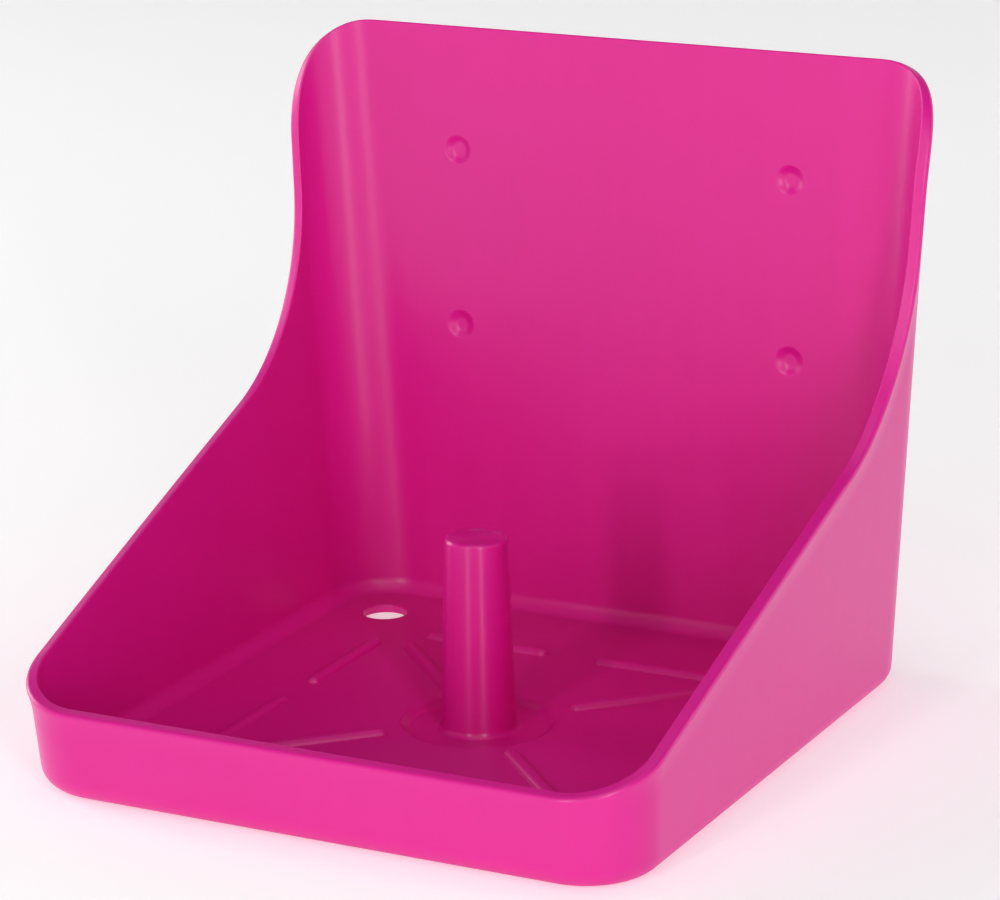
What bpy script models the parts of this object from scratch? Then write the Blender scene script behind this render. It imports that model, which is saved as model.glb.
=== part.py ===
"""Wall-mounted holder for a pierced salt or mineral block.

The holder is one shell: an open tray whose low front lip sweeps up along both
cheeks into a tall back wall.  A hollow peg stands in a round seat in the middle
of the floor and keeps the block in place.  +Z is up and +Y points at the wall
that the holder hangs on.
"""

import math

import bmesh
import bpy
from mathutils import Matrix, Vector

# Shell, in metres.
BASE_WIDTH = 0.2058       # across the outside, where the shell stands
BASE_DEPTH = 0.2189       # from the foot of the lip to the back of the wall
HEIGHT = 0.2022           # top of the back wall
LIP_HEIGHT = 0.0305       # top of the front lip
WALL = 0.0030             # all the upright walls
FLOOR = 0.0028
CORNER_RADIUS = 0.0235    # the four upright corners, outside
FOOT_RADIUS = 0.0068      # outer edge under the shell
FLOOR_FILLET = 0.0050     # inside, between floor and walls
SIDE_DRAFT = math.tan(math.radians(3.4))
FRONT_DRAFT = math.tan(math.radians(5.0))

# Rim, as the side view shows it: a straight rise from the lip, a wide sweep into
# the cheek's upright edge, then a rounded top corner.
RIM_RISE = math.radians(19.7)
SWEEP_RADIUS = 0.071
CHEEK_DEPTH = 0.0227      # from the cheek's edge to the wall, where the top corner starts
CHEEK_LEAN = math.radians(3.0)
TOP_RADIUS = 0.0475
RIM_BEVEL = math.radians(12.0)   # the rim's face falls outward
RIM_ROUND = 0.0015        # between that face and the outside
RIM_PROUD = 0.0009        # how far the rim stands out from the lip and the cheeks
RIM_FLARE = 0.0095        # from the rim down to where the wall is plain

# Fixing points: blind dimples that mark where the wall screws are drilled.
DIMPLE_RADIUS = 0.0051
DIMPLE_DEPTH = 0.0014
DIMPLE_SIDE_GAP = 0.0429  # from the foot of the shell's side to a dimple
DIMPLE_TOP_GAP = 0.0417   # from the top of the wall to the upper dimples
DIMPLE_PITCH_Z = 0.060

# Floor: four drain holes and a pattern of raised beads about the peg.
DRAIN_RADIUS = 0.0075
DRAIN_SIDE_GAP = 0.0242   # from the foot of the shell's side to a drain
DRAIN_END_GAP = 0.0267    # from its front or back
BEAD_WIDTH = 0.0048
BEAD_HEIGHT = 0.0018
BEAD_SIDE_GAP = 0.0369    # from the foot of the shell's side to the row along it
BEAD_CORNER_GAP = 0.0120  # from a row's end to the next row's line
BEAD_GAP = 0.0170         # between the two beads of a row, end to end
BEAD_DISH_GAP = 0.0058    # from the dish to a slanting bead

# Peg and its seat.
PEG_TOP_RADIUS = 0.0099
PEG_FOOT_RADIUS = 0.0118
PEG_HEIGHT = 0.0610       # above the floor
PEG_WALL = 0.0028
PEG_EDGE = 0.0012         # rounding at the top
PEG_FILLET = 0.0020       # between the peg and its dish
DISH_RADIUS = 0.0246
DISH_DEPTH = 0.0018
DISH_RIM = 0.0003         # flat land around the dish
DISH_SLOPE = 0.0030       # width of the dish's sloping side
SEAT_LEDGE = 0.0014       # how far the seat's ledge reaches under the dish
SEAT_DEPTH = 0.0018       # from the floor down to the ledge
CLEARANCE = 0.0003        # between touching pieces

# Facets.
RIM_COLUMNS = 64          # from the lip's middle to the back wall's middle
ROUND_STEPS = 32          # round a hole or a dimple
PEG_STEPS = 64            # round the peg and its seat
BEAD_STEPS = 16           # round a bead's outline
FOOT_STEPS = 6
WALL_STEPS = 5
FLARE_STEPS = 5
EDGE_STEPS = 4
FILLET_STEPS = 6
CURVE_STEPS = 60          # along each curve of the rim's outline, before it is spaced evenly
SMOOTHING_PASSES = 60     # spreads the rings' points evenly along the foot

# Where some arcs stop, in degrees, so that a flat cap or a tapered side can follow.
DOME_END = 75
BOWL_END = 88
FILLET_END = 182

BEVEL_INSET = RIM_ROUND * (1 - math.sin(RIM_BEVEL))
BEVEL_DROP = (WALL + RIM_PROUD - BEVEL_INSET) * math.tan(RIM_BEVEL)
RIM_DROP = BEVEL_DROP + RIM_ROUND * math.cos(RIM_BEVEL)
OVERHANG = FRONT_DRAFT * (LIP_HEIGHT - RIM_DROP) + RIM_PROUD
BACK = (BASE_DEPTH + OVERHANG) / 2
FRONT = BACK - BASE_DEPTH
CENTRE_Y = (FRONT + BACK) / 2
SIDE_RUN = BASE_DEPTH - 2 * CORNER_RADIUS
FRONT_RUN = BASE_WIDTH / 2 - CORNER_RADIUS
CORNER_RUN = CORNER_RADIUS * math.pi / 2
HALF_RUN = 2 * FRONT_RUN + 2 * CORNER_RUN + SIDE_RUN
DRAIN_X = BASE_WIDTH / 2 - DRAIN_SIDE_GAP
DRAIN_Y = BASE_DEPTH / 2 - DRAIN_END_GAP
BEAD_ROW = BASE_WIDTH / 2 - BEAD_SIDE_GAP
BEAD_REACH = BEAD_ROW - BEAD_CORNER_GAP
BEAD_START = DISH_RADIUS + BEAD_DISH_GAP


def lerp(a, b, t):
    return a + (b - a) * t


# ---------------------------------------------------------------- the shell's surface

def wall_point(run, z, inset):
    """The point of the wall at a distance along the outline, from the lip's middle to the back's."""
    half_width = BASE_WIDTH / 2 + SIDE_DRAFT * z - inset
    front = FRONT - FRONT_DRAFT * z + inset
    back = BACK - inset
    radius = CORNER_RADIUS - inset
    if run < FRONT_RUN:
        return Vector((run / FRONT_RUN * (half_width - radius), front, z))
    run -= FRONT_RUN
    if run < CORNER_RUN:
        turn = run / CORNER_RADIUS
        x = half_width - radius + radius * math.sin(turn)
        return Vector((x, front + radius - radius * math.cos(turn), z))
    run -= CORNER_RUN
    if run < SIDE_RUN:
        return Vector((half_width, lerp(front + radius, back - radius, run / SIDE_RUN), z))
    run -= SIDE_RUN
    if run < CORNER_RUN:
        turn = run / CORNER_RADIUS
        x = half_width - radius + radius * math.cos(turn)
        return Vector((x, back - radius + radius * math.sin(turn), z))
    run -= CORNER_RUN
    return Vector(((1 - run / FRONT_RUN) * (half_width - radius), back, z))


def run_at(y, z):
    """The distance along the outline at which the cheek or the back corner passes y."""
    start = FRONT - FRONT_DRAFT * z + CORNER_RADIUS
    end = BACK - CORNER_RADIUS
    if y < end:
        return FRONT_RUN + CORNER_RUN + (y - start) / (end - start) * SIDE_RUN
    turn = math.asin(min(1.0, (y - end) / CORNER_RADIUS))
    return FRONT_RUN + CORNER_RUN + SIDE_RUN + turn * CORNER_RADIUS


def rim_line():
    """The rim's inner edge on the unrolled wall, as (run, z), from the lip's middle to the back's."""
    line = [(0.0, LIP_HEIGHT), (FRONT_RUN, LIP_HEIGHT)]
    for step in range(1, CURVE_STEPS + 1):
        turn = step / CURVE_STEPS * math.pi / 2
        rise = math.tan(RIM_RISE) * CORNER_RADIUS * (1 - math.cos(turn))
        line.append((FRONT_RUN + turn * CORNER_RADIUS, LIP_HEIGHT + rise))

    # The top corner's circle touches the leaning edge and meets the wall at full height.
    edge = Vector((math.sin(CHEEK_LEAN), math.cos(CHEEK_LEAN)))
    inward = Vector((edge.y, -edge.x))
    top_y = BACK - CHEEK_DEPTH + TOP_RADIUS * inward.x
    top = Vector((top_y, HEIGHT - math.sqrt(TOP_RADIUS ** 2 - (top_y - BACK) ** 2)))
    edge_end = top - TOP_RADIUS * inward

    # The sweep's circle touches the straight rise and the leaning edge.
    rise_dir = Vector((math.cos(RIM_RISE), math.sin(RIM_RISE)))
    start_z = line[-1][1]
    start = Vector((FRONT - FRONT_DRAFT * start_z + CORNER_RADIUS, start_z))
    to_edge = edge_end - start
    across = to_edge.x * edge.y - to_edge.y * edge.x
    along = across / (rise_dir.x * edge.y - rise_dir.y * edge.x)
    corner = start + rise_dir * along
    bend = math.pi / 2 - CHEEK_LEAN - RIM_RISE
    sweep = corner + (edge - rise_dir).normalized() * SWEEP_RADIUS / math.cos(bend / 2)

    last_turn = math.atan2(HEIGHT - top.y, BACK - top.x)
    side_view = []
    for step in range(CURVE_STEPS + 1):
        turn = RIM_RISE + bend * step / CURVE_STEPS
        side_view.append(sweep + SWEEP_RADIUS * Vector((math.sin(turn), -math.cos(turn))))
    for step in range(CURVE_STEPS + 1):
        turn = lerp(math.pi - CHEEK_LEAN, last_turn, step / CURVE_STEPS)
        side_view.append(top + TOP_RADIUS * Vector((math.cos(turn), math.sin(turn))))
    line += [(run_at(y, z), z) for y, z in side_view]
    return line + [(HALF_RUN - FRONT_RUN, HEIGHT), (HALF_RUN, HEIGHT)]


def even_columns(line):
    """RIM_COLUMNS + 1 points spaced evenly along a polyline."""
    lengths = [0.0]
    for a, b in zip(line, line[1:]):
        lengths.append(lengths[-1] + math.dist(a, b))
    columns = []
    piece = 0
    for column in range(RIM_COLUMNS + 1):
        target = lengths[-1] * column / RIM_COLUMNS
        while piece < len(line) - 2 and lengths[piece + 1] < target:
            piece += 1
        t = (target - lengths[piece]) / (lengths[piece + 1] - lengths[piece])
        (run_a, z_a), (run_b, z_b) = line[piece], line[piece + 1]
        columns.append((lerp(run_a, run_b, t), lerp(z_a, z_b, t)))
    return columns


def dropped(columns, drop):
    """The columns moved down into the wall, square to the rim."""
    moved = []
    for index, (run, z) in enumerate(columns):
        run_a, z_a = columns[max(index - 1, 0)]
        run_b, z_b = columns[min(index + 1, len(columns) - 1)]
        length = math.hypot(run_b - run_a, z_b - z_a)
        moved.append((run + drop * (z_b - z_a) / length, z - drop * (run_b - run_a) / length))
    return moved


def spread(values):
    """Evens out crowded values and keeps both ends."""
    for _ in range(SMOOTHING_PASSES):
        inner = [(a + 2 * b + c) / 4 for a, b, c in zip(values, values[1:], values[2:])]
        values = [values[0]] + inner + [values[-1]]
    return values


def proud_share(run):
    """All of the rim's thickening on the lip and the cheeks, none where the back lies on the wall."""
    past_cheek = (run - FRONT_RUN - CORNER_RUN - SIDE_RUN) / CORNER_RADIUS
    return math.cos(min(max(past_cheek, 0.0), math.pi / 2))


def shell_ring(columns, inset, proud=0.0):
    """A closed ring of points around the shell: the right half, then its mirror image."""
    right = [wall_point(run, z, inset - proud * proud_share(run)) for run, z in columns]
    left = [Vector((-p.x, p.y, p.z)) for p in reversed(right[1:-1])]
    return right + left


# ---------------------------------------------------------------- making solids

def colour(name, hex_code, roughness):
    """A plastic of one colour, given as an sRGB hex code."""
    channels = [int(hex_code[i:i + 2], 16) / 255 for i in (0, 2, 4)]
    linear = [c / 12.92 if c <= 0.04045 else ((c + 0.055) / 1.055) ** 2.4 for c in channels]
    material = bpy.data.materials.new(name)
    material.use_nodes = True
    principled = material.node_tree.nodes["Principled BSDF"]
    principled.inputs["Base Color"].default_value = (*linear, 1)
    principled.inputs["Roughness"].default_value = roughness
    principled.inputs["Metallic"].default_value = 0.0
    return material


def solid_from(name, bm):
    """An object made of one bmesh, with outward faces."""
    bmesh.ops.recalc_face_normals(bm, faces=bm.faces)
    mesh = bpy.data.meshes.new(name)
    bm.to_mesh(mesh)
    bm.free()
    thing = bpy.data.objects.new(name, mesh)
    bpy.context.collection.objects.link(thing)
    return thing


def add_loft(bm, rings):
    """A closed solid through rings that have the same number of points, capped at both ends."""
    loops = [[bm.verts.new(p) for p in ring] for ring in rings]
    for low, high in zip(loops, loops[1:]):
        for i in range(len(low)):
            j = (i + 1) % len(low)
            bm.faces.new((low[i], low[j], high[j], high[i]))
    bm.faces.new(loops[0][::-1])
    bm.faces.new(loops[-1])


def add_turned(bm, profile, place, steps=ROUND_STEPS):
    """A closed solid turned about Z: (radius, z) pairs that start and end on a flat disc."""
    angles = [step / steps * 2 * math.pi for step in range(steps)]
    rings = []
    for radius, z in profile:
        ring = [Vector((radius * math.cos(angle), radius * math.sin(angle), z)) for angle in angles]
        rings.append([place @ point for point in ring])
    add_loft(bm, rings)


def arc(centre, radius, first, last, steps):
    """Points on a circle of a profile, angles in degrees from the radial direction."""
    angles = [math.radians(lerp(first, last, step / steps)) for step in range(steps + 1)]
    return [(centre[0] + radius * math.cos(a), centre[1] + radius * math.sin(a)) for a in angles]


def cutter(name, bm):
    """A hidden tool for a Boolean."""
    tool = solid_from(name, bm)
    tool.hide_render = True
    tool.display_type = "WIRE"
    return tool


def boolean(thing, tool, operation):
    modifier = thing.modifiers.new(tool.name, "BOOLEAN")
    modifier.operation = operation
    modifier.solver = "EXACT"
    modifier.object = tool


# ---------------------------------------------------------------- start from an empty scene

for old in list(bpy.data.objects):
    bpy.data.objects.remove(old, do_unlink=True)


# ---------------------------------------------------------------- holder shell
# One moulding: back wall, cheeks, lip and floor.  Its rings start under the floor, climb the
# outside to the rim, cross the rim's falling face and go down the inside to the floor.

rim = even_columns(rim_line())
foot_runs = spread([run for run, z in rim])
plain_wall = dropped(rim, RIM_FLARE)

rings = []
for step in range(FOOT_STEPS + 1):
    turn = (1 - step / FOOT_STEPS) * math.pi / 2
    z = FOOT_RADIUS * (1 - math.sin(turn))
    inset = FOOT_RADIUS * (1 - math.cos(turn))
    rings.append(shell_ring([(run, z) for run in foot_runs], inset))
for step in range(1, WALL_STEPS + 1):
    t = step / WALL_STEPS
    columns = []
    for foot_run, (run, z) in zip(foot_runs, plain_wall):
        columns.append((lerp(foot_run, run, t), lerp(FOOT_RADIUS, z, t)))
    rings.append(shell_ring(columns, 0.0))
for step in range(1, FLARE_STEPS + 1):
    t = step / FLARE_STEPS
    columns = dropped(rim, lerp(RIM_FLARE, RIM_DROP, t))
    rings.append(shell_ring(columns, 0.0, RIM_PROUD * t ** 2))
for step in range(1, EDGE_STEPS + 1):
    turn = lerp(math.pi / 2, RIM_BEVEL, step / EDGE_STEPS)
    columns = dropped(rim, RIM_DROP - RIM_ROUND * math.cos(turn))
    rings.append(shell_ring(columns, RIM_ROUND * (1 - math.sin(turn)), RIM_PROUD))
rings.append(shell_ring(rim, WALL))
for step in range(1, WALL_STEPS + 1):
    t = step / WALL_STEPS
    columns = []
    for foot_run, (run, z) in zip(foot_runs, rim):
        columns.append((lerp(run, foot_run, t), lerp(z, FLOOR + FLOOR_FILLET, t)))
    rings.append(shell_ring(columns, WALL))
for step in range(1, FILLET_STEPS + 1):
    turn = step / FILLET_STEPS * math.pi / 2
    z = FLOOR + FLOOR_FILLET * (1 - math.sin(turn))
    inset = WALL + FLOOR_FILLET * (1 - math.cos(turn))
    rings.append(shell_ring([(run, z) for run in foot_runs], inset))

shell = bmesh.new()
add_loft(shell, rings)
holder = solid_from("holder_shell", shell)
holder.data.materials.append(colour("magenta polypropylene", "D0147C", 0.42))

# Raised beads: a row of two along each wall and one slanting from the peg to each corner.
on_floor = Matrix.Translation((0, CENTRE_Y, FLOOR))
row_length = BEAD_REACH - BEAD_GAP / 2
slant_end = BEAD_REACH * math.sqrt(2)
slant_length = slant_end - BEAD_START
bead_places = []
for quarter in range(4):
    turned = on_floor @ Matrix.Rotation(quarter * math.pi / 2, 4, "Z")
    for side in (-1, 1):
        middle = side * (BEAD_GAP / 2 + BEAD_REACH) / 2
        bead_places.append((turned @ Matrix.Translation((middle, BEAD_ROW, 0)), row_length))
    slanted = turned @ Matrix.Rotation(math.pi / 4, 4, "Z")
    middle = (BEAD_START + slant_end) / 2
    bead_places.append((slanted @ Matrix.Translation((middle, 0, 0)), slant_length))

# A bead's section is half an ellipse that stands on a short root inside the floor.
bead_section = [(BEAD_WIDTH / 2, -FLOOR / 2)]
for across, up in arc((0, 0), 1, 0, DOME_END, EDGE_STEPS):
    bead_section.append((across * BEAD_WIDTH / 2, up * BEAD_HEIGHT))
beads = bmesh.new()
for place, length in bead_places:
    rings = []
    for half_width, z in bead_section:
        ring = []
        for step in range(BEAD_STEPS):
            angle = (step + 0.5) / BEAD_STEPS * 2 * math.pi
            x = math.copysign((length - BEAD_WIDTH) / 2, math.cos(angle)) + half_width * math.cos(angle)
            ring.append(place @ Vector((x, half_width * math.sin(angle), z)))
        rings.append(ring)
    add_loft(beads, rings)
boolean(holder, cutter("bead_tool", beads), "UNION")

# Drain holes, the peg's stepped seat, and the blind dimples in the back wall.
holes = bmesh.new()
for side_x in (-1, 1):
    for side_y in (-1, 1):
        place = Matrix.Translation((side_x * DRAIN_X, CENTRE_Y + side_y * DRAIN_Y, 0))
        add_turned(holes, [(DRAIN_RADIUS, -FLOOR), (DRAIN_RADIUS, 2 * FLOOR)], place)
peg_place = Matrix.Translation((0, CENTRE_Y, 0))
seat_radius = DISH_RADIUS + CLEARANCE
ledge_radius = seat_radius - SEAT_LEDGE
ledge_z = FLOOR - SEAT_DEPTH
seat = [(ledge_radius, -FLOOR), (ledge_radius, ledge_z), (seat_radius, ledge_z), (seat_radius, 2 * FLOOR)]
add_turned(holes, seat, peg_place, PEG_STEPS)
bowl = (DIMPLE_RADIUS ** 2 + DIMPLE_DEPTH ** 2) / (2 * DIMPLE_DEPTH)
bowl_angle = math.degrees(math.asin(DIMPLE_RADIUS / bowl))
dimple = [(DIMPLE_RADIUS, -WALL)]
dimple += arc((0, DIMPLE_DEPTH - bowl), bowl, 90 - bowl_angle, BOWL_END, FILLET_STEPS)
for side in (-1, 1):
    for level in (0, 1):
        x = side * (BASE_WIDTH / 2 - DIMPLE_SIDE_GAP)
        z = HEIGHT - DIMPLE_TOP_GAP - level * DIMPLE_PITCH_Z
        place = Matrix.Translation((x, BACK - WALL, z)) @ Matrix.Rotation(-math.pi / 2, 4, "X")
        add_turned(holes, dimple, place)
boolean(holder, cutter("hole_tool", holes), "DIFFERENCE")


# ---------------------------------------------------------------- centre peg
# A tapered hollow peg that rises from a round dish.  The dish's rim lies on the seat's ledge and
# its spigot fills the hole in the floor.  The profile runs from the bore's top to the peg's top.

rim_z = ledge_z + CLEARANCE
spigot_radius = ledge_radius - CLEARANCE
peg_top = FLOOR + PEG_HEIGHT
bore_top = peg_top - PEG_WALL
bore_top_radius = PEG_TOP_RADIUS - PEG_WALL
dish_z = FLOOR - DISH_DEPTH
profile = [(bore_top_radius - PEG_EDGE, bore_top), (bore_top_radius, bore_top - PEG_EDGE)]
profile += [(PEG_FOOT_RADIUS - PEG_WALL, 0.0), (spigot_radius, 0.0), (spigot_radius, rim_z)]
profile += [(DISH_RADIUS, rim_z), (DISH_RADIUS, FLOOR)]
for step in range(FILLET_STEPS + 1):
    t = step / FILLET_STEPS
    radius = DISH_RADIUS - DISH_RIM - DISH_SLOPE * t
    profile.append((radius, FLOOR - DISH_DEPTH * (1 - math.cos(t * math.pi)) / 2))
profile += arc((PEG_FOOT_RADIUS + PEG_FILLET, dish_z + PEG_FILLET), PEG_FILLET, 270, FILLET_END, EDGE_STEPS)
profile += arc((PEG_TOP_RADIUS - PEG_EDGE, peg_top - PEG_EDGE), PEG_EDGE, 0, 90, EDGE_STEPS)
peg = bmesh.new()
add_turned(peg, profile[::-1], peg_place, PEG_STEPS)
post = solid_from("centre_peg", peg)
post.data.materials.append(colour("magenta polypropylene, peg", "CC1279", 0.40))
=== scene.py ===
"""A wall-mounted holder for a pierced mineral block: one moulded shell and its centre peg."""

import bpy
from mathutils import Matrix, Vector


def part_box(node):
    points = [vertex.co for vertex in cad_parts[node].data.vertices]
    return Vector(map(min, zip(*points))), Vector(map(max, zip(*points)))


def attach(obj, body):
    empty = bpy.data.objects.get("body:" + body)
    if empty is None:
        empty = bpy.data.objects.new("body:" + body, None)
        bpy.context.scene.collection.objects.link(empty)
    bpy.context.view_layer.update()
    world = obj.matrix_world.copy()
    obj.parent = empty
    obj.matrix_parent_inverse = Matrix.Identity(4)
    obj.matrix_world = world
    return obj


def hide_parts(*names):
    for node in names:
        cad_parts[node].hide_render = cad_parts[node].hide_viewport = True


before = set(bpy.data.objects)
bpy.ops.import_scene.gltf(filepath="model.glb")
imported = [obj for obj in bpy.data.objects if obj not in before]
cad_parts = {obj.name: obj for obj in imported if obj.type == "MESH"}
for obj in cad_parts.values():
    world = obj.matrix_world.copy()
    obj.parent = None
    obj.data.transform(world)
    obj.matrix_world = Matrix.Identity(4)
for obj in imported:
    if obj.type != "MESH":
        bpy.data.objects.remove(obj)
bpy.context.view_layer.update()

import math

import bmesh
import bpy
from mathutils import Matrix, Vector


# ---------------------------------------------------------------- holder shell
# The shell is one injection moulding in magenta polypropylene, about 3 mm thick: a tray with a low
# front lip, cheeks that sweep up, and a tall back wall.  Screws through the back wall hold it.

shell_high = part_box("holder_shell")[1]
BASE_WIDTH = 0.2058
BASE_DEPTH = 0.2189
BACK = shell_high.y
FRONT = BACK - BASE_DEPTH
HEIGHT = shell_high.z
MIDDLE_Y = (FRONT + BACK) / 2
LIP_HEIGHT = 0.0305
WALL = 0.0030
FLOOR = 0.0028
CORNER_RADIUS = 0.0235
FOOT_RADIUS = 0.0068
FLOOR_FILLET = 0.0050
SIDE_DRAFT = math.tan(math.radians(3.4))
FRONT_DRAFT = math.tan(math.radians(5.0))

SIDE_RUN = BASE_DEPTH - 2 * CORNER_RADIUS
FRONT_RUN = BASE_WIDTH / 2 - CORNER_RADIUS
CORNER_RUN = CORNER_RADIUS * math.pi / 2
HALF_RUN = 2 * FRONT_RUN + 2 * CORNER_RUN + SIDE_RUN


def between(a, b, share):
    return a + (b - a) * share


def wall_point(run, z, inset):
    """The wall's point at a distance along the outline, from the middle of the lip to the back's."""
    half_width = BASE_WIDTH / 2 + SIDE_DRAFT * z - inset
    front = FRONT - FRONT_DRAFT * z + inset
    back = BACK - inset
    radius = CORNER_RADIUS - inset
    if run < FRONT_RUN:
        return Vector((run / FRONT_RUN * (half_width - radius), front, z))
    run -= FRONT_RUN
    if run < CORNER_RUN:
        turn = run / CORNER_RADIUS
        x = half_width - radius + radius * math.sin(turn)
        return Vector((x, front + radius - radius * math.cos(turn), z))
    run -= CORNER_RUN
    if run < SIDE_RUN:
        return Vector((half_width, between(front + radius, back - radius, run / SIDE_RUN), z))
    run -= SIDE_RUN
    if run < CORNER_RUN:
        turn = run / CORNER_RADIUS
        x = half_width - radius + radius * math.cos(turn)
        return Vector((x, back - radius + radius * math.sin(turn), z))
    run -= CORNER_RUN
    return Vector(((1 - run / FRONT_RUN) * (half_width - radius), back, z))


def run_at(y, z):
    """The distance along the outline at which the cheek, or the back corner, passes y."""
    start = FRONT - FRONT_DRAFT * z + CORNER_RADIUS
    end = BACK - CORNER_RADIUS
    if y < end:
        return FRONT_RUN + CORNER_RUN + (y - start) / (end - start) * SIDE_RUN
    turn = math.asin(min(1.0, (y - end) / CORNER_RADIUS))
    return FRONT_RUN + CORNER_RUN + SIDE_RUN + turn * CORNER_RADIUS


# Seen from the side, the rim rises straight from the lip, sweeps up into the cheek's leaning edge
# and ends in a round top corner.
RIM_RISE = math.radians(19.7)
SWEEP_RADIUS = 0.071
CHEEK_DEPTH = 0.0227
CHEEK_LEAN = math.radians(3.0)
TOP_RADIUS = 0.0475
CORNER_STEPS = 24
SWEEP_STEPS = 80
TOP_STEPS = 120


def rim_line():
    """The rim's inner edge on the unrolled wall, as (run, z), from the lip's middle to the back's."""
    line = [(0.0, LIP_HEIGHT), (FRONT_RUN, LIP_HEIGHT)]
    for step in range(1, CORNER_STEPS + 1):
        turn = step / CORNER_STEPS * math.pi / 2
        rise = math.tan(RIM_RISE) * CORNER_RADIUS * (1 - math.cos(turn))
        line.append((FRONT_RUN + turn * CORNER_RADIUS, LIP_HEIGHT + rise))
    edge = Vector((math.sin(CHEEK_LEAN), math.cos(CHEEK_LEAN)))
    inward = Vector((edge.y, -edge.x))
    top_y = BACK - CHEEK_DEPTH + TOP_RADIUS * inward.x
    top = Vector((top_y, HEIGHT - math.sqrt(TOP_RADIUS ** 2 - (top_y - BACK) ** 2)))
    edge_end = top - TOP_RADIUS * inward
    rise_dir = Vector((math.cos(RIM_RISE), math.sin(RIM_RISE)))
    start_z = line[-1][1]
    start = Vector((FRONT - FRONT_DRAFT * start_z + CORNER_RADIUS, start_z))
    to_edge = edge_end - start
    along = (to_edge.x * edge.y - to_edge.y * edge.x) / (rise_dir.x * edge.y - rise_dir.y * edge.x)
    bend = math.pi / 2 - CHEEK_LEAN - RIM_RISE
    corner = start + rise_dir * along
    sweep = corner + (edge - rise_dir).normalized() * SWEEP_RADIUS / math.cos(bend / 2)
    side_view = []
    for step in range(SWEEP_STEPS + 1):
        turn = RIM_RISE + bend * step / SWEEP_STEPS
        side_view.append(sweep + SWEEP_RADIUS * Vector((math.sin(turn), -math.cos(turn))))
    last_turn = math.atan2(HEIGHT - top.y, BACK - top.x)
    for step in range(TOP_STEPS + 1):
        turn = between(math.pi - CHEEK_LEAN, last_turn, step / TOP_STEPS)
        side_view.append(top + TOP_RADIUS * Vector((math.cos(turn), math.sin(turn))))
    line += [(run_at(y, z), z) for y, z in side_view]
    return line + [(HALF_RUN - FRONT_RUN, HEIGHT), (HALF_RUN, HEIGHT)]


def even_columns(line, count):
    """Points spaced evenly along a polyline."""
    lengths = [0.0]
    for a, b in zip(line, line[1:]):
        lengths.append(lengths[-1] + math.dist(a, b))
    columns = []
    piece = 0
    for column in range(count + 1):
        target = lengths[-1] * column / count
        while piece < len(line) - 2 and lengths[piece + 1] < target:
            piece += 1
        share = (target - lengths[piece]) / (lengths[piece + 1] - lengths[piece])
        (run_a, z_a), (run_b, z_b) = line[piece], line[piece + 1]
        columns.append((between(run_a, run_b, share), between(z_a, z_b, share)))
    return columns


def dropped(columns, drop):
    """The columns moved down into the wall, square to the rim."""
    moved = []
    for index, (run, z) in enumerate(columns):
        run_a, z_a = columns[max(index - 1, 0)]
        run_b, z_b = columns[min(index + 1, len(columns) - 1)]
        length = math.hypot(run_b - run_a, z_b - z_a)
        moved.append((run + drop * (z_b - z_a) / length, z - drop * (run_b - run_a) / length))
    return moved


def shell_ring(columns, inset, proud=0.0):
    """A closed ring around the shell: its right half, then the mirror image.

    proud swells it outward on the lip and the cheeks; the back stays flat against its wall.
    """
    right = []
    for run, z in columns:
        past_cheek = (run - FRONT_RUN - CORNER_RUN - SIDE_RUN) / CORNER_RADIUS
        share = math.cos(min(max(past_cheek, 0.0), math.pi / 2))
        right.append(wall_point(run, z, inset - proud * share))
    return right + [Vector((-p.x, p.y, p.z)) for p in reversed(right[1:-1])]


def add_band(bm, low, high):
    """Faces between two loops of the same number of points."""
    for i in range(len(low)):
        j = (i + 1) % len(low)
        bm.faces.new((low[i], low[j], high[j], high[i]))


def add_loft(bm, rings):
    """A closed solid through rings of the same number of points, capped at both ends."""
    loops = [[bm.verts.new(p) for p in ring] for ring in rings]
    for low, high in zip(loops, loops[1:]):
        add_band(bm, low, high)
    bm.faces.new(loops[0][::-1])
    bm.faces.new(loops[-1])


def new_piece(name, bm):
    """An object made of one bmesh, with outward faces."""
    bmesh.ops.recalc_face_normals(bm, faces=bm.faces)
    mesh = bpy.data.meshes.new(name)
    bm.to_mesh(mesh)
    bm.free()
    thing = bpy.data.objects.new(name, mesh)
    bpy.context.collection.objects.link(thing)
    return thing


# The rim's face falls outward, and its two edges are rounded as a mould's are.
RIM_BEVEL = math.radians(12.0)
RIM_ROUND = 0.0015
RIM_EDGE = 0.0005
RIM_PROUD = 0.0009
RIM_FLARE = 0.0095
bevel_inset = RIM_ROUND * (1 - math.sin(RIM_BEVEL))
bevel_drop = (WALL + RIM_PROUD - bevel_inset) * math.tan(RIM_BEVEL)
rim_drop = bevel_drop + RIM_ROUND * math.cos(RIM_BEVEL)
edge_drop = RIM_EDGE * (1 + math.sin(RIM_BEVEL)) / math.cos(RIM_BEVEL)

# The rings' columns are evenly spaced at the rim.  Smoothing spreads them along the foot.
RIM_COLUMNS = 260
SMOOTHING_PASSES = 600
rim = even_columns(rim_line(), RIM_COLUMNS)
foot_runs = [run for run, z in rim]
for smoothing in range(SMOOTHING_PASSES):
    inner = [(a + 2 * b + c) / 4 for a, b, c in zip(foot_runs, foot_runs[1:], foot_runs[2:])]
    foot_runs = [foot_runs[0]] + inner + [foot_runs[-1]]


def climb(low_z, columns, share):
    """Columns part of the way up from a level line at the foot to the given columns."""
    moved = []
    for foot, (run, z) in zip(foot_runs, columns):
        moved.append((between(foot, run, share), between(low_z, z, share)))
    return moved


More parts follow.
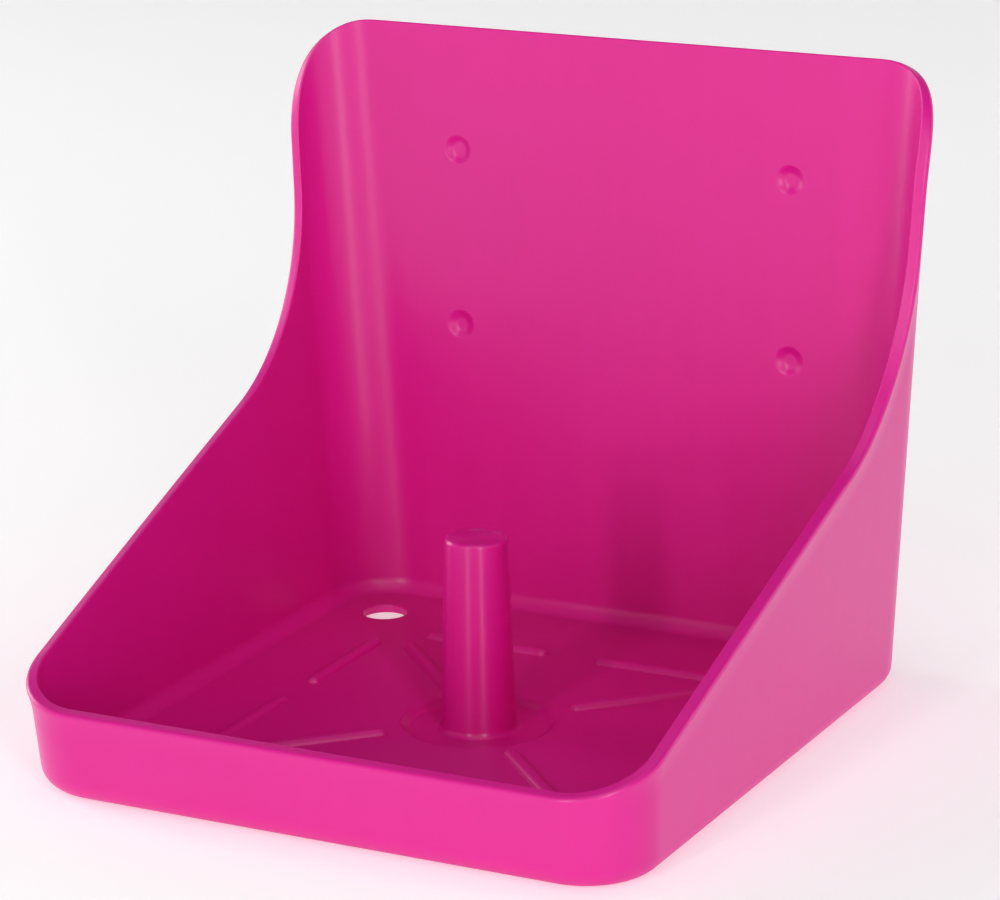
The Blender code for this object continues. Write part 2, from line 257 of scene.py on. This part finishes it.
# The rings go from under the floor up the outside, over the rim and down the inside to the floor.
FOOT_STEPS = 8
OUTSIDE_STEPS = 14
FLARE_STEPS = 10
ROUND_STEPS = 7
EDGE_STEPS = 5
INSIDE_STEPS = 18
FILLET_STEPS = 12
rings = []
for step in range(FOOT_STEPS + 1):
    turn = (1 - step / FOOT_STEPS) * math.pi / 2
    z = FOOT_RADIUS * (1 - math.sin(turn))
    inset = FOOT_RADIUS * (1 - math.cos(turn))
    rings.append(shell_ring([(run, z) for run in foot_runs], inset))
plain_wall = dropped(rim, RIM_FLARE)
for step in range(1, OUTSIDE_STEPS + 1):
    rings.append(shell_ring(climb(FOOT_RADIUS, plain_wall, step / OUTSIDE_STEPS), 0.0))
for step in range(1, FLARE_STEPS + 1):
    share = step / FLARE_STEPS
    columns = dropped(rim, between(RIM_FLARE, rim_drop, share))
    rings.append(shell_ring(columns, 0.0, RIM_PROUD * share ** 2))
for step in range(1, ROUND_STEPS + 1):
    turn = between(math.pi / 2, RIM_BEVEL, step / ROUND_STEPS)
    columns = dropped(rim, rim_drop - RIM_ROUND * math.cos(turn))
    rings.append(shell_ring(columns, RIM_ROUND * (1 - math.sin(turn)), RIM_PROUD))
for step in range(EDGE_STEPS + 1):
    turn = between(RIM_BEVEL, -math.pi / 2, step / EDGE_STEPS)
    columns = dropped(rim, edge_drop - RIM_EDGE * math.cos(turn))
    rings.append(shell_ring(columns, WALL - RIM_EDGE - RIM_EDGE * math.sin(turn)))
inner_rim = dropped(rim, edge_drop)
for step in range(1, INSIDE_STEPS + 1):
    share = 1 - step / INSIDE_STEPS
    rings.append(shell_ring(climb(FLOOR + FLOOR_FILLET, inner_rim, share), WALL))
for step in range(1, FILLET_STEPS + 1):
    turn = step / FILLET_STEPS * math.pi / 2
    z = FLOOR + FLOOR_FILLET * (1 - math.sin(turn))
    inset = WALL + FLOOR_FILLET * (1 - math.cos(turn))
    rings.append(shell_ring([(run, z) for run in foot_runs], inset))
skin = bmesh.new()
add_loft(skin, rings)
shell = new_piece("moulded_shell", skin)


def arc(centre, radius, first, last, steps):
    """Points (across, up) on a circle, between two angles in degrees from the across direction."""
    points = []
    for step in range(steps + 1):
        angle = math.radians(between(first, last, step / steps))
        points.append((centre[0] + radius * math.cos(angle), centre[1] + radius * math.sin(angle)))
    return points


def circle(radius, z, steps):
    """Points around an upright axis."""
    angles = [step / steps * 2 * math.pi for step in range(steps)]
    return [Vector((radius * math.cos(a), radius * math.sin(a), z)) for a in angles]


def add_turned(bm, profile, place, steps):
    """A closed solid turned about an upright axis, from (radius, height) pairs."""
    add_loft(bm, [[place @ p for p in circle(radius, z, steps)] for radius, z in profile])


# Raised beads on the floor: a row of two along each wall and one slanting to each corner.  Their
# section is a low dome that runs out into the floor.
BEAD_WIDTH = 0.0048
BEAD_HEIGHT = 0.0018
BEAD_TOE = 0.0003
BEAD_ROW = 0.0660
BEAD_GAP = 0.0170
BEAD_REACH = 0.0540
BEAD_START = 0.0304
BEAD_STEPS = 40

bead_section = [(BEAD_WIDTH / 2 + BEAD_TOE, -FLOOR / 2), (BEAD_WIDTH / 2 + BEAD_TOE, -BEAD_TOE / 2)]
bead_section += [(BEAD_WIDTH / 2 + BEAD_TOE / 4, BEAD_TOE / 3)]
for across, up in arc((0, 0), 1, 20, 84, 8):
    bead_section.append((across * BEAD_WIDTH / 2, up * BEAD_HEIGHT))
on_floor = Matrix.Translation((0, MIDDLE_Y, FLOOR))
slant_end = BEAD_REACH * math.sqrt(2)
bead_places = []
for quarter in range(4):
    turned = on_floor @ Matrix.Rotation(quarter * math.pi / 2, 4, "Z")
    for side in (-1, 1):
        middle = side * (BEAD_GAP / 2 + BEAD_REACH) / 2
        bead_places.append((turned @ Matrix.Translation((middle, BEAD_ROW, 0)), BEAD_REACH - BEAD_GAP / 2))
    slanted = turned @ Matrix.Rotation(math.pi / 4, 4, "Z")
    middle = (BEAD_START + slant_end) / 2
    bead_places.append((slanted @ Matrix.Translation((middle, 0, 0)), slant_end - BEAD_START))
beads = bmesh.new()
for place, length in bead_places:
    rings = []
    for half_width, z in bead_section:
        ring = []
        for step in range(BEAD_STEPS):
            angle = (step + 0.5) / BEAD_STEPS * 2 * math.pi
            shift = math.copysign(length / 2 - BEAD_WIDTH / 2, math.cos(angle))
            point = Vector((shift + half_width * math.cos(angle), half_width * math.sin(angle), z))
            ring.append(place @ point)
        rings.append(ring)
    add_loft(beads, rings)
bead_tool = new_piece("bead_tool", beads)

# Four drain holes with broken edges.
DRAIN_RADIUS = 0.0075
DRAIN_X = 0.0787
DRAIN_Y = 0.08275
DRAIN_EDGE = 0.0006
HOLE_STEPS = 96

holes = bmesh.new()
drain = [(DRAIN_RADIUS, -FLOOR), (DRAIN_RADIUS, FLOOR - DRAIN_EDGE)]
drain += arc((DRAIN_RADIUS + DRAIN_EDGE, FLOOR - DRAIN_EDGE), DRAIN_EDGE, 160, 95, 4)
drain += [(DRAIN_RADIUS + DRAIN_EDGE, FLOOR + DRAIN_EDGE / 6), (DRAIN_RADIUS + DRAIN_EDGE, 2 * FLOOR)]
for side_x in (-1, 1):
    for side_y in (-1, 1):
        place = Matrix.Translation((side_x * DRAIN_X, MIDDLE_Y + side_y * DRAIN_Y, 0))
        add_turned(holes, drain, place, HOLE_STEPS)

# The stepped round seat that the peg's foot is welded into.  The weld fills the clearance, so the
# foot meets the seat's edge here.
DISH_RADIUS = 0.0246
SEAT_LEDGE = 0.0014
SEAT_DEPTH = 0.0018
SEAT_EDGE = 0.00012
CLEARANCE = 0.0003
PEG_STEPS = 160

peg_place = Matrix.Translation((0, MIDDLE_Y, 0))
seat_radius = DISH_RADIUS + CLEARANCE
ledge_radius = seat_radius - SEAT_LEDGE
seat = [(ledge_radius, -FLOOR), (ledge_radius, FLOOR - SEAT_DEPTH)]
seat += [(seat_radius, FLOOR - SEAT_DEPTH), (seat_radius, FLOOR - SEAT_EDGE)]
seat += [(seat_radius + SEAT_EDGE, FLOOR), (seat_radius + SEAT_EDGE, 2 * FLOOR)]
add_turned(holes, seat, peg_place, PEG_STEPS)

# Four blind dimples in the back wall, with sloping sides and a flat middle, show where the screws
# are drilled.
DIMPLE_RADIUS = 0.0051
DIMPLE_DEPTH = 0.0014
DIMPLE_SLOPE = 0.0036
DIMPLE_PITCH_X = 0.120
DIMPLE_PITCH_Z = 0.060
DIMPLE_LOW_Z = HEIGHT - 0.1017
SLOPE_STEPS = 16
DIMPLE_STEPS = 64

dimple = [(DIMPLE_RADIUS, -WALL), (DIMPLE_RADIUS, 0.0)]
for step in range(1, SLOPE_STEPS + 1):
    share = step / SLOPE_STEPS
    fall = (1 - math.cos(share ** 0.8 * math.pi)) / 2
    dimple.append((DIMPLE_RADIUS - DIMPLE_SLOPE * share, DIMPLE_DEPTH * fall))
into_wall = Matrix.Rotation(-math.pi / 2, 4, "X")
for side in (-1, 1):
    for level in (0, 1):
        z = DIMPLE_LOW_Z + level * DIMPLE_PITCH_Z
        place = Matrix.Translation((side * DIMPLE_PITCH_X / 2, BACK - WALL, z)) @ into_wall
        add_turned(holes, dimple, place, DIMPLE_STEPS)

# The mould's ejector pins leave faint round grooves in the floor, one near each corner and one in
# front of and behind the peg.
MARK_RADIUS = 0.0078
MARK_DEPTH = 0.00012
MARK_WIDTH = 0.0005
MARK_TOP = FLOOR + 0.001
MARK_STEPS = 48
MARKS = [(0, 0.0492), (0, -0.0492)]
MARKS += [(side_x * 0.0609, side_y * 0.0717) for side_x in (-1, 1) for side_y in (-1, 1)]

mark_end = MARK_RADIUS - 2 * MARK_WIDTH
groove = [(MARK_RADIUS, FLOOR), (MARK_RADIUS - MARK_WIDTH, FLOOR - MARK_DEPTH), (mark_end, FLOOR)]
groove += [(mark_end, MARK_TOP), (MARK_RADIUS, MARK_TOP)]
for x, y in MARKS:
    place = Matrix.Translation((x, MIDDLE_Y + y, 0))
    loops = []
    for radius, z in groove:
        loops.append([holes.verts.new(place @ p) for p in circle(radius, z, MARK_STEPS)])
    for low, high in zip(loops, loops[1:] + loops[:1]):
        add_band(holes, low, high)
hole_tool = new_piece("hole_tool", holes)


def shaped(thing, tools=()):
    """Cuts and joins with the tools, then keeps the result as the piece's own mesh, smooth shaded."""
    for tool, operation in tools:
        modifier = thing.modifiers.new(tool.name, "BOOLEAN")
        modifier.operation = operation
        modifier.solver = "EXACT"
        modifier.object = tool
    evaluated = thing.evaluated_get(bpy.context.evaluated_depsgraph_get())
    mesh = bpy.data.meshes.new_from_object(evaluated)
    thing.modifiers.clear()
    thing.data = mesh
    for tool, operation in tools:
        bpy.data.objects.remove(tool, do_unlink=True)
    mesh.shade_smooth()
    mesh.set_sharp_from_angle(angle=math.radians(28))
    weighted = thing.modifiers.new("even shading", "WEIGHTED_NORMAL")
    weighted.keep_sharp = True
    weighted.weight = 90


shaped(shell, [(bead_tool, "UNION"), (hole_tool, "DIFFERENCE")])


def linear(hex_code):
    """The linear colour of an sRGB hex code."""
    channels = [int(hex_code[i:i + 2], 16) / 255 for i in (0, 2, 4)]
    return [c / 12.92 if c <= 0.04045 else ((c + 0.055) / 1.055) ** 2.4 for c in channels] + [1.0]


def add_node(material, kind, settings=None, values=None, links=None):
    """A node with its settings, its socket values and its (socket, source) links."""
    node = material.node_tree.nodes.new(kind)
    for name, setting in (settings or {}).items():
        setattr(node, name, setting)
    for socket, value in (values or {}).items():
        node.inputs[socket].default_value = value
    for socket, source in (links or {}).items():
        material.node_tree.links.new(source, node.inputs[socket])
    return node


# Real sizes of the plastic's patterns, in metres: flow lines 6 mm wide and 143 mm long that follow
# the upright draw, clouds of 45 mm, a ripple of 0.9 mm, and hair scratches 1 mm wide and 71 mm long.
FLOW_WIDTH = 0.00588
FLOW_LENGTH = 0.143
CLOUD_SIZE = 0.0455
RIPPLE_SIZE = 0.000909
RELIEF_DEPTH = 0.000012
HAIR_WIDTH = 0.001111
HAIR_LENGTH = 0.0714
HAIR_GAP = 0.025
GLOSS_SPREAD = 0.03


def moulded_polypropylene(name, deep, bright, roughness, drawn, floor_dullness):
    """Coloured polypropylene from a polished mould: satin, a little translucent, faint flow lines.

    The polish runs along the draw, so the gloss is sharper across it than along it, and lamps show
    as upright streaks.  Flow lines 6 mm apart, clouds of 45 mm and a ripple of about 1 mm break up
    the colour and the gloss, with a few hair scratches from handling.  The ripple is drawn coarser
    than a real polish mark, so that it can show.  The tray's floor is duller than the walls.
    """
    material = bpy.data.materials.new(name)
    material.use_nodes = True
    nodes = material.node_tree.nodes
    wire = material.node_tree.links.new
    surface = nodes["Principled BSDF"]
    place = add_node(material, "ShaderNodeTexCoord").outputs["Object"]

    # Colour: flow lines and clouds, between two close magentas.
    drawn_out = add_node(material, "ShaderNodeMapping",
                         values={"Scale": (1 / FLOW_WIDTH, 1 / FLOW_WIDTH, 1 / FLOW_LENGTH)},
                         links={"Vector": place})
    flow = add_node(material, "ShaderNodeTexNoise",
                    values={"Scale": 1.0, "Detail": 3.0, "Roughness": 0.5},
                    links={"Vector": drawn_out.outputs["Vector"]})
    cloud = add_node(material, "ShaderNodeTexNoise",
                     values={"Scale": 1 / CLOUD_SIZE, "Detail": 2.0, "Roughness": 0.5},
                     links={"Vector": place})
    mottle = add_node(material, "ShaderNodeMath", {"operation": "MULTIPLY"},
                      links={0: flow.outputs["Fac"], 1: cloud.outputs["Fac"]})
    tint = add_node(material, "ShaderNodeMapRange", values={"From Min": 0.0, "From Max": 0.55},
                    links={"Value": mottle.outputs["Value"]})
    # A Mix node that mixes colours takes them at its sockets 6 and 7, and gives its own at 2.
    mix = add_node(material, "ShaderNodeMix", {"data_type": "RGBA"},
                   values={6: linear(deep), 7: linear(bright)}, links={"Factor": tint.outputs["Result"]})
    wire(mix.outputs[2], surface.inputs["Base Color"])

    # Gloss: flow lines, the duller floor, and hair scratches.
    hair_place = add_node(material, "ShaderNodeMapping",
                          values={"Rotation": (0.3, 0.5, 0.9),
                                  "Scale": (1 / HAIR_WIDTH, 1 / HAIR_LENGTH, 1 / HAIR_GAP)},
                          links={"Vector": place})
    hair_noise = add_node(material, "ShaderNodeTexNoise", values={"Scale": 1.0, "Detail": 1.0},
                          links={"Vector": hair_place.outputs["Vector"]})
    hairs = add_node(material, "ShaderNodeMapRange", values={"From Min": 0.75, "From Max": 0.82},
                     links={"Value": hair_noise.outputs["Fac"]})
    gloss = add_node(material, "ShaderNodeMapRange",
                     values={"From Min": 0.3, "From Max": 0.7,
                             "To Min": roughness, "To Max": roughness + GLOSS_SPREAD},
                     links={"Value": flow.outputs["Fac"]})
    height = add_node(material, "ShaderNodeSeparateXYZ", links={"Vector": place})
    floor_dull = add_node(material, "ShaderNodeMapRange",
                          values={"From Min": FLOOR, "From Max": FLOOR + FLOOR_FILLET,
                                  "To Min": floor_dullness, "To Max": 0.0},
                          links={"Value": height.outputs["Z"]})
    base_gloss = add_node(material, "ShaderNodeMath", {"operation": "ADD"},
                          links={0: gloss.outputs["Result"], 1: floor_dull.outputs["Result"]})
    dulled = add_node(material, "ShaderNodeMath", {"operation": "MULTIPLY_ADD"}, values={1: 0.05},
                      links={0: hairs.outputs["Result"], 2: base_gloss.outputs["Value"]})
    wire(dulled.outputs["Value"], surface.inputs["Roughness"])

    # Relief of at most 0.012 mm: the ripple, the flow lines and the scratches.
    ripple = add_node(material, "ShaderNodeTexNoise",
                      values={"Scale": 1 / RIPPLE_SIZE, "Detail": 2.0, "Roughness": 0.6},
                      links={"Vector": place})
    relief = add_node(material, "ShaderNodeMath", {"operation": "MULTIPLY_ADD"}, values={1: 0.3},
                      links={0: flow.outputs["Fac"], 2: ripple.outputs["Fac"]})
    scored = add_node(material, "ShaderNodeMath", {"operation": "MULTIPLY_ADD"}, values={1: -0.3},
                      links={0: hairs.outputs["Result"], 2: relief.outputs["Value"]})
    bump = add_node(material, "ShaderNodeBump", values={"Strength": 0.5, "Distance": RELIEF_DEPTH},
                    links={"Height": scored.outputs["Value"]})
    wire(bump.outputs["Normal"], surface.inputs["Normal"])

    around = add_node(material, "ShaderNodeTangent", {"direction_type": "RADIAL", "axis": "Z"})
    wire(around.outputs["Tangent"], surface.inputs["Tangent"])
    surface.inputs["Anisotropic"].default_value = drawn
    surface.inputs["Anisotropic Rotation"].default_value = 0.25
    surface.inputs["IOR"].default_value = 1.50
    surface.inputs["Subsurface Weight"].default_value = 0.12
    surface.inputs["Subsurface Radius"].default_value = (1.0, 0.15, 0.45)
    surface.inputs["Subsurface Scale"].default_value = 0.002
    return material


shell_plastic = moulded_polypropylene("magenta polypropylene, moulded", "D50F88", "DA148F", 0.33, 0.5, 0.10)
shell.data.materials.clear()
shell.data.materials.append(shell_plastic)
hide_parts("holder_shell")
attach(shell, "root")


# ---------------------------------------------------------------- centre peg
# A tapered hollow peg on a dished round foot, in the same polypropylene.  The block's hole drops
# over it.  The foot lies on the seat's ledge, and its spigot fills the hole in the floor.

PEG_TOP_RADIUS = 0.0099
PEG_FOOT_RADIUS = 0.0118
PEG_WALL = 0.0028
PEG_EDGE = 0.0012
PEG_FILLET = 0.0020
DISH_DEPTH = 0.0018
DISH_SLOPE = 0.0033
DISH_STEPS = 24

peg_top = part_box("centre_peg")[1].z
bore_top = peg_top - PEG_WALL
bore_top_radius = PEG_TOP_RADIUS - PEG_WALL
foot_under = FLOOR - SEAT_DEPTH + CLEARANCE
spigot_radius = ledge_radius - CLEARANCE
dish_top = FLOOR - SEAT_EDGE
dish_bottom = FLOOR - DISH_DEPTH

# The section goes from the bore's top down and out under the foot, then over the dish and up.
profile = [(bore_top_radius - PEG_EDGE, bore_top), (bore_top_radius, bore_top - PEG_EDGE)]
profile += [(PEG_FOOT_RADIUS - PEG_WALL, 0.0), (spigot_radius, 0.0), (spigot_radius, foot_under)]
profile += [(seat_radius, foot_under), (seat_radius, dish_top)]
for step in range(1, DISH_STEPS + 1):
    share = step / DISH_STEPS
    fall = (1 - math.cos(share * math.pi)) / 2
    profile.append((seat_radius - DISH_SLOPE * share, between(dish_top, dish_bottom, fall)))
profile += arc((PEG_FOOT_RADIUS + PEG_FILLET, dish_bottom + PEG_FILLET), PEG_FILLET, 270, 182, 12)
profile += arc((PEG_TOP_RADIUS - PEG_EDGE, peg_top - PEG_EDGE), PEG_EDGE, 0, 90, 8)

# The mould's core pin leaves a shallow round witness mark on the peg's top.
WITNESS_RADIUS = 0.0074
WITNESS_SLOPE = 0.0002
WITNESS_WIDTH = 0.0016
WITNESS_STEP = 0.00012
WITNESS_MIDDLE = 0.0012
profile += [(WITNESS_RADIUS + WITNESS_SLOPE, peg_top), (WITNESS_RADIUS, peg_top - WITNESS_STEP)]
profile += [(WITNESS_RADIUS - WITNESS_WIDTH, peg_top - WITNESS_STEP)]
profile += [(WITNESS_MIDDLE, peg_top - WITNESS_STEP * 0.6)]

turning = bmesh.new()
add_turned(turning, profile[::-1], peg_place, PEG_STEPS)
peg = new_piece("moulded_peg", turning)
shaped(peg)
peg_plastic = moulded_polypropylene("magenta polypropylene, peg", "D30D84", "D8128B", 0.31, 0.8, 0.0)
peg.data.materials.append(peg_plastic)
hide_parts("centre_peg")
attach(peg, "root")


# ---------------------------------------------------------------- studio
# A plain white paper floor that curves up all around into a low wall, like a studio cove, lit by
# two tall strip lights in front and a few large soft panels.

COVE_FLAT = 3.0
COVE_BEND = 0.8
COVE_HEIGHT = 2.2
COVE_STEPS = 96

cove_section = [(COVE_FLAT / 2, 0.0)] + arc((COVE_FLAT, COVE_BEND), COVE_BEND, 270, 360, 16)
cove_section.append((COVE_FLAT + COVE_BEND, COVE_HEIGHT))
cove_mesh = bmesh.new()
loops = []
for radius, z in cove_section:
    loops.append([cove_mesh.verts.new(p) for p in circle(radius, z, COVE_STEPS)])
cove_mesh.faces.new(loops[0])
for low, high in zip(loops, loops[1:]):
    add_band(cove_mesh, low, high)
cove = new_piece("studio_sweep", cove_mesh)
cove.data.shade_smooth()

# Matt paper, lit from behind, so that it stays white around the holder.
paper = bpy.data.materials.new("white background paper")
paper.use_nodes = True
paper_surface = paper.node_tree.nodes["Principled BSDF"]
paper_surface.inputs["Roughness"].default_value = 0.9
paper_surface.inputs["Base Color"].default_value = linear("F2F1F2")
paper_surface.inputs["Emission Color"].default_value = linear("FFFFFF")
paper_surface.inputs["Emission Strength"].default_value = 0.360
cove.data.materials.append(paper)

VIEW_AZIMUTH = 28.03
VIEW_ELEVATION = 16.58
VIEW_ROLL = -1.11
VIEW_DISTANCE = 1.2604
LAMP_DISTANCE = 1.9
target = Vector((0.0, -0.018, 0.0915))


def direction(azimuth, elevation):
    """The way from the holder towards an azimuth and elevation in degrees; azimuth 0 is its front."""
    a = math.radians(azimuth)
    e = math.radians(elevation)
    return Vector((math.sin(a) * math.cos(e), -math.cos(a) * math.cos(e), math.sin(e)))


def soft_box(name, azimuth, elevation, width, height, power):
    """A soft box that faces the holder, its sides in metres and its power in watts."""
    away = direction(azimuth, elevation)
    light = bpy.data.lights.new(name, "AREA")
    light.shape = "RECTANGLE"
    light.size = width
    light.size_y = height
    light.energy = power
    lamp = bpy.data.objects.new(name, light)
    lamp.location = target + away * LAMP_DISTANCE
    lamp.rotation_euler = away.to_track_quat("Z", "Y").to_euler()
    bpy.context.collection.objects.link(lamp)


soft_box("left strip", VIEW_AZIMUTH - 31, 14, 0.18, 1.3, 8.3)
soft_box("right strip", VIEW_AZIMUTH + 16, 14, 0.18, 1.3, 9.9)
soft_box("back left panel", VIEW_AZIMUTH - 120, 15, 0.8, 1.2, 15.0)
soft_box("back right panel", VIEW_AZIMUTH + 120, 15, 0.8, 1.2, 3.2)
soft_box("high front panel", VIEW_AZIMUTH, 50, 1.0, 0.6, 2.8)
soft_box("top panel", VIEW_AZIMUTH, 88, 1.2, 1.2, 3.3)

world = bpy.data.worlds.new("studio")
world.use_nodes = True
world.node_tree.nodes["Background"].inputs["Color"].default_value = linear("FFFFFF")
world.node_tree.nodes["Background"].inputs["Strength"].default_value = 0.095
bpy.context.scene.world = world
bpy.context.scene.view_settings.view_transform = "Standard"

# The camera stands to the right of the holder and a little above it, rolled by about a degree.
away = direction(VIEW_AZIMUTH, VIEW_ELEVATION)
across = Vector((0, 0, 1)).cross(away).normalized()
upward = away.cross(across)
roll = math.radians(VIEW_ROLL)
rolled_across = math.cos(roll) * across + math.sin(roll) * upward
rolled_upward = math.cos(roll) * upward - math.sin(roll) * across
turned = Matrix((rolled_across, rolled_upward, away)).transposed().to_4x4()
lens = bpy.data.cameras.new("camera")
lens.sensor_width = 36
lens.lens = 148.5
lens.shift_x = 0.0552
lens.shift_y = 0.0178
camera = bpy.data.objects.new("camera", lens)
camera.matrix_world = Matrix.Translation(target + away * VIEW_DISTANCE) @ turned
bpy.context.collection.objects.link(camera)
bpy.context.scene.camera = camera
